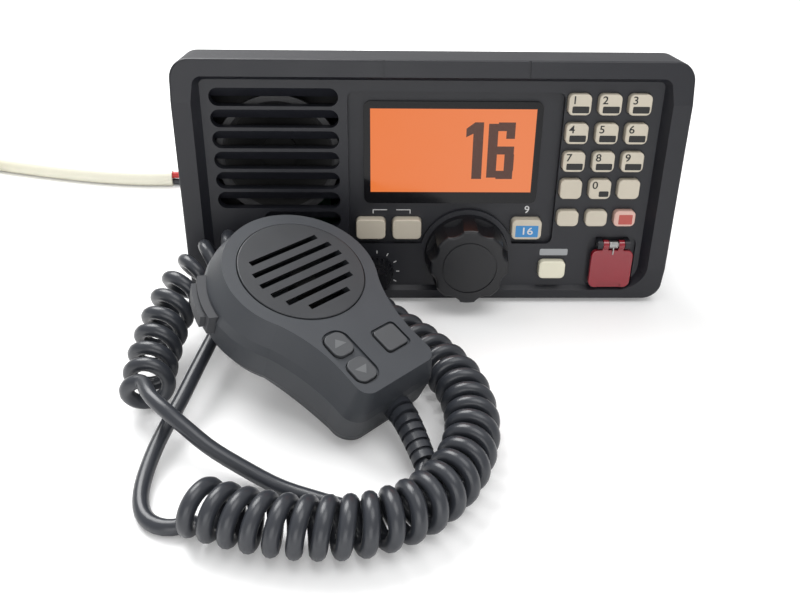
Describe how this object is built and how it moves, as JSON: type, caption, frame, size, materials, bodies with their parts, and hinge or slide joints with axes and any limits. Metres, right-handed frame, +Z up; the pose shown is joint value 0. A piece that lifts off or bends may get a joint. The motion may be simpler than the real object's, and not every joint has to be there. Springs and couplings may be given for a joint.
{
  "type": "vhf marine radio",
  "caption": "Fixed-mount marine radio with display, keypad and knobs, a hand microphone on a curly cord and a power cable.",
  "frame": {"origin": "on the table, under the middle of the radio and microphone without their cords", "axes": "+X to the radio's right as seen from the front, +Y from its front to its back, +Z up; the radio leans back 5.4 degrees"},
  "size_m": [0.4826, 0.3355, 0.1115],
  "materials": {
    "panel_plastic": "fine textured black moulding",
    "window_clear": "smooth clear window with a black border",
    "lcd_amber": "backlit amber liquid crystal cell",
    "key_ivory": "satin ivory key caps",
    "key_blue": "satin blue key cap",
    "key_red": "satin red key cap",
    "key_rubber": "matt dark rubber mat behind the keys",
    "circuit_board": "green lacquered board",
    "steel": "plain bright metal",
    "knob_rubber": "matt black knob",
    "knob_plastic": "matt black knob",
    "red_clear": "glossy red cover",
    "red_plastic": "matt red key",
    "cone_fabric": "black paper cone",
    "cast_alloy": "black painted casting",
    "seal_rubber": "soft black rubber",
    "plated_brass": "nickel plated brass",
    "mic_plastic": "fine textured dark grey moulding",
    "ptt_rubber": "dark grey rubber",
    "mic_key_rubber": "dark grey rubber keys",
    "cord_rubber": "black satin cord jacket",
    "cable_cream": "cream cable sheath",
    "core_sleeves": "one red and one black core"
  },
  "bodies": {
    "radio": {"antenna_socket": "plated_brass", "cable_terminals": "plated_brass", "case_screws": "steel", "channel_encoder": "steel", "chassis_seal": "seal_rubber", "cord_coil": "cord_rubber", "cord_gland": "seal_rubber", "display_window": "window_clear", "distress_hinge_pin": "steel", "dual_potentiometer": "steel", "front_board": "circuit_board", "front_panel": "panel_plastic", "hanger_stud": "steel", "key_mat": "key_rubber", "lcd_module": "lcd_amber", "main_board": "circuit_board", "mic_back_shell": "mic_plastic", "mic_board": "circuit_board", "mic_boot": "cord_rubber", "mic_front_shell": "mic_plastic", "mic_grille": "mic_plastic", "mic_lead": "cord_rubber", "panel_lead": "cord_rubber", "power_cable": "cable_cream", "power_cable_coil": "cable_cream", "power_gland": "seal_rubber", "power_leads": "core_sleeves", "rear_chassis": "cast_alloy", "speaker_cone": "cone_fabric", "speaker_frame": "steel"},
    "key_0": {"key_0": "key_ivory"},
    "key_1": {"key_1": "key_ivory"},
    "key_16": {"key_16": "key_blue"},
    "key_2": {"key_2": "key_ivory"},
    "key_3": {"key_3": "key_ivory"},
    "key_4": {"key_4": "key_ivory"},
    "key_5": {"key_5": "key_ivory"},
    "key_6": {"key_6": "key_ivory"},
    "key_7": {"key_7": "key_ivory"},
    "key_8": {"key_8": "key_ivory"},
    "key_9": {"key_9": "key_ivory"},
    "key_ce": {"key_ce": "key_ivory"},
    "key_ch": {"key_ch": "key_ivory"},
    "key_clr": {"key_clr": "key_ivory"},
    "key_ent": {"key_ent": "key_ivory"},
    "key_f": {"key_f": "key_red"},
    "key_hl": {"key_hl": "key_ivory"},
    "key_menu": {"key_menu": "key_ivory"},
    "key_power": {"key_power": "key_ivory"},
    "distress_cover": {"distress_cover": "red_clear", "distress_spring": "steel"},
    "distress_button": {"distress_button": "red_plastic"},
    "channel_knob": {"channel_knob": "knob_rubber", "channel_shaft": "steel"},
    "squelch_knob": {"squelch_knob": "knob_plastic"},
    "volume_knob": {"volume_knob": "knob_plastic"},
    "ptt_button": {"ptt_button": "ptt_rubber"},
    "mic_up_key": {"mic_up_key": "mic_key_rubber"},
    "mic_down_key": {"mic_down_key": "mic_key_rubber"},
    "mic_channel_key": {"mic_channel_key": "mic_key_rubber"}
  },
  "joints": [
    {"name": "key_0_press", "type": "slide", "parent": "radio", "child": "key_0", "axis": [0, 0.9955, -0.0949], "range_m": [0, 0.0012], "stiffness_N_per_m": 250},
    {"name": "key_1_press", "type": "slide", "parent": "radio", "child": "key_1", "axis": [0, 0.9955, -0.0949], "range_m": [0, 0.0012], "stiffness_N_per_m": 250},
    {"name": "key_16_press", "type": "slide", "parent": "radio", "child": "key_16", "axis": [0, 0.9955, -0.0949], "range_m": [0, 0.0012], "stiffness_N_per_m": 250},
    {"name": "key_2_press", "type": "slide", "parent": "radio", "child": "key_2", "axis": [0, 0.9955, -0.0949], "range_m": [0, 0.0012], "stiffness_N_per_m": 250},
    {"name": "key_3_press", "type": "slide", "parent": "radio", "child": "key_3", "axis": [0, 0.9955, -0.0949], "range_m": [0, 0.0012], "stiffness_N_per_m": 250},
    {"name": "key_4_press", "type": "slide", "parent": "radio", "child": "key_4", "axis": [0, 0.9955, -0.0949], "range_m": [0, 0.0012], "stiffness_N_per_m": 250},
    {"name": "key_5_press", "type": "slide", "parent": "radio", "child": "key_5", "axis": [0, 0.9955, -0.0949], "range_m": [0, 0.0012], "stiffness_N_per_m": 250},
    {"name": "key_6_press", "type": "slide", "parent": "radio", "child": "key_6", "axis": [0, 0.9955, -0.0949], "range_m": [0, 0.0012], "stiffness_N_per_m": 250},
    {"name": "key_7_press", "type": "slide", "parent": "radio", "child": "key_7", "axis": [0, 0.9955, -0.0949], "range_m": [0, 0.0012], "stiffness_N_per_m": 250},
    {"name": "key_8_press", "type": "slide", "parent": "radio", "child": "key_8", "axis": [0, 0.9955, -0.0949], "range_m": [0, 0.0012], "stiffness_N_per_m": 250},
    {"name": "key_9_press", "type": "slide", "parent": "radio", "child": "key_9", "axis": [0, 0.9955, -0.0949], "range_m": [0, 0.0012], "stiffness_N_per_m": 250},
    {"name": "key_ce_press", "type": "slide", "parent": "radio", "child": "key_ce", "axis": [0, 0.9955, -0.0949], "range_m": [0, 0.0012], "stiffness_N_per_m": 250},
    {"name": "key_ch_press", "type": "slide", "parent": "radio", "child": "key_ch", "axis": [0, 0.9955, -0.0949], "range_m": [0, 0.0012], "stiffness_N_per_m": 250},
    {"name": "key_clr_press", "type": "slide", "parent": "radio", "child": "key_clr", "axis": [0, 0.9955, -0.0949], "range_m": [0, 0.0012], "stiffness_N_per_m": 250},
    {"name": "key_ent_press", "type": "slide", "parent": "radio", "child": "key_ent", "axis": [0, 0.9955, -0.0949], "range_m": [0, 0.0012], "stiffness_N_per_m": 250},
    {"name": "key_f_press", "type": "slide", "parent": "radio", "child": "key_f", "axis": [0, 0.9955, -0.0949], "range_m": [0, 0.0012], "stiffness_N_per_m": 250},
    {"name": "key_hl_press", "type": "slide", "parent": "radio", "child": "key_hl", "axis": [0, 0.9955, -0.0949], "range_m": [0, 0.0012], "stiffness_N_per_m": 250},
    {"name": "key_menu_press", "type": "slide", "parent": "radio", "child": "key_menu", "axis": [0, 0.9955, -0.0949], "range_m": [0, 0.0012], "stiffness_N_per_m": 250},
    {"name": "key_power_press", "type": "slide", "parent": "radio", "child": "key_power", "axis": [0, 0.9955, -0.0949], "range_m": [0, 0.0012], "stiffness_N_per_m": 250},
    {"name": "distress_button_press", "type": "slide", "parent": "radio", "child": "distress_button", "axis": [0, 0.9955, -0.0949], "range_m": [0, 0.0012], "stiffness_N_per_m": 300},
    {"name": "distress_cover_hinge", "type": "hinge", "parent": "radio", "child": "distress_cover", "pos_m": [0.0848, 0.00256, 0.03015], "axis": [-1, 0, 0], "range_deg": [0, 110], "stiffness_Nm_per_rad": 0.004, "springref_deg": -17.19},
    {"name": "channel_turn", "type": "hinge", "parent": "radio", "child": "channel_knob", "pos_m": [0.0173, -0.00058, 0.02462], "axis": [0, -0.9955, 0.0949], "continuous": true},
    {"name": "squelch_turn", "type": "hinge", "parent": "radio", "child": "squelch_knob", "pos_m": [-0.024, -0.00142, 0.01586], "axis": [0, -0.9955, 0.0949], "range_deg": [-150, 150]},
    {"name": "volume_turn", "type": "hinge", "parent": "radio", "child": "volume_knob", "pos_m": [-0.024, -0.00142, 0.01586], "axis": [0, -0.9955, 0.0949], "range_deg": [-150, 150]},
    {"name": "ptt_press", "type": "slide", "parent": "radio", "child": "ptt_button", "axis": [0.9084, 0.3958, -0.1349], "range_m": [0, 0.0018], "stiffness_N_per_m": 500},
    {"name": "mic_up_key_press", "type": "slide", "parent": "radio", "child": "mic_up_key", "axis": [-0.251, 0.2581, -0.933], "range_m": [0, 0.0008], "stiffness_N_per_m": 300},
    {"name": "mic_down_key_press", "type": "slide", "parent": "radio", "child": "mic_down_key", "axis": [-0.251, 0.2581, -0.933], "range_m": [0, 0.0008], "stiffness_N_per_m": 300},
    {"name": "mic_channel_key_press", "type": "slide", "parent": "radio", "child": "mic_channel_key", "axis": [-0.251, 0.2581, -0.933], "range_m": [0, 0.0008], "stiffness_N_per_m": 300}
  ]
}
